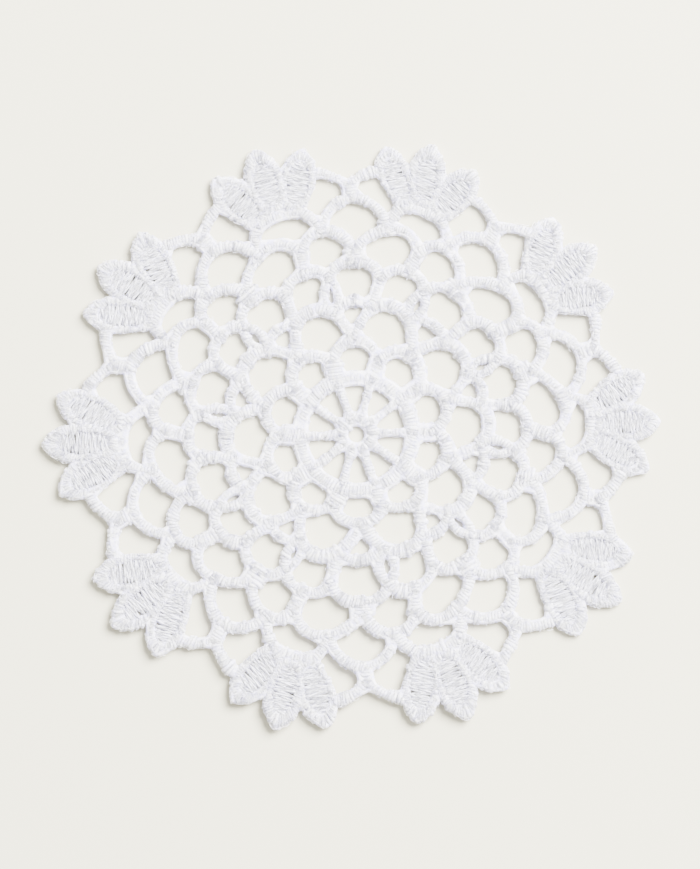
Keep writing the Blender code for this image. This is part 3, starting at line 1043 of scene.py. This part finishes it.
class LACE_OT_cords(bpy.types.Operator):
    """Winds the thread of the cords, tier by tier"""
    bl_idname = "lace.cords"
    bl_label = "Wound Cords"

    def execute(self, context):
        settings = context.scene.lace_settings
        material = bpy.data.materials["mercerised_cotton_thread"]
        tiers = (
            ("wheel_thread", WHEEL), ("shield_thread", SHIELDS), ("arch_thread", ARCHES),
            ("fan_thread", FANS), ("rim_thread", RIM),
        )
        for seed, (name, bands) in enumerate(tiers, CORD_SEED):
            finish_piece(cord_threads(name, bands, settings, seed), material)
        return {"FINISHED"}


class LACE_OT_leaves(bpy.types.Operator):
    """Stitches the leaves round the edge and their zigzag fillings"""
    bl_idname = "lace.leaves"
    bl_label = "Leaves"

    def execute(self, context):
        settings = context.scene.lace_settings
        material = bpy.data.materials["mercerised_cotton_thread"]
        names = ("left_leaf_thread", "middle_leaf_thread", "right_leaf_thread")
        for seed, (name, leaf) in enumerate(zip(names, LEAVES), LEAF_SEED):
            finish_piece(leaf_threads(name, leaf, settings, seed), material)
        filling = filling_threads("leaf_filling", settings, FILLING_SEED)
        finish_piece(filling, filling_thread(settings))
        return {"FINISHED"}


class LACE_OT_fuzz(bpy.types.Operator):
    """Adds the loose fibres that stand off the stitches"""
    bl_idname = "lace.fuzz"
    bl_label = "Fuzz"

    def execute(self, context):
        settings = context.scene.lace_settings
        material = loose_fibre(settings)
        finish_piece(cord_fibres("cord_fuzz", settings, FUZZ_SEED), material)
        finish_piece(leaf_fibres("leaf_fuzz", settings, FUZZ_SEED + 1), material)
        return {"FINISHED"}


class LACE_OT_stage(bpy.types.Operator):
    """Adds the floor, the lights and the camera"""
    bl_idname = "lace.stage"
    bl_label = "Stage"

    def execute(self, context):
        settings = context.scene.stage_settings
        add_floor(settings)
        add_lights(context.scene, settings)
        add_camera(context.scene)
        return {"FINISHED"}


class LACE_PT_panel(bpy.types.Panel):
    """Sizes, colours and steps of the lace doily"""
    bl_label = "Lace Doily"
    bl_space_type = "VIEW_3D"
    bl_region_type = "UI"
    bl_category = "Lace"

    def draw(self, context):
        layout = self.layout
        for group in (context.scene.lace_settings, context.scene.stage_settings):
            for name in group.__annotations__:
                layout.prop(group, name)
        for operator in OPERATORS:
            layout.operator(operator.bl_idname)


OPERATORS = (LACE_OT_padding, LACE_OT_cords, LACE_OT_leaves, LACE_OT_fuzz, LACE_OT_stage)
CLASSES = (LaceSettings, StageSettings) + OPERATORS + (LACE_PT_panel,)


def register():
    for cls in CLASSES:
        bpy.utils.register_class(cls)
    bpy.types.Scene.lace_settings = bpy.props.PointerProperty(type=LaceSettings)
    bpy.types.Scene.stage_settings = bpy.props.PointerProperty(type=StageSettings)


def unregister():
    del bpy.types.Scene.stage_settings
    del bpy.types.Scene.lace_settings
    for cls in reversed(CLASSES):
        bpy.utils.unregister_class(cls)


def main():
    """Builds the doily and its stage."""
    register()
    bpy.ops.lace.padding()
    bpy.ops.lace.cords()
    bpy.ops.lace.leaves()
    bpy.ops.lace.fuzz()
    bpy.ops.lace.stage()


if __name__ == "__main__":
    main()
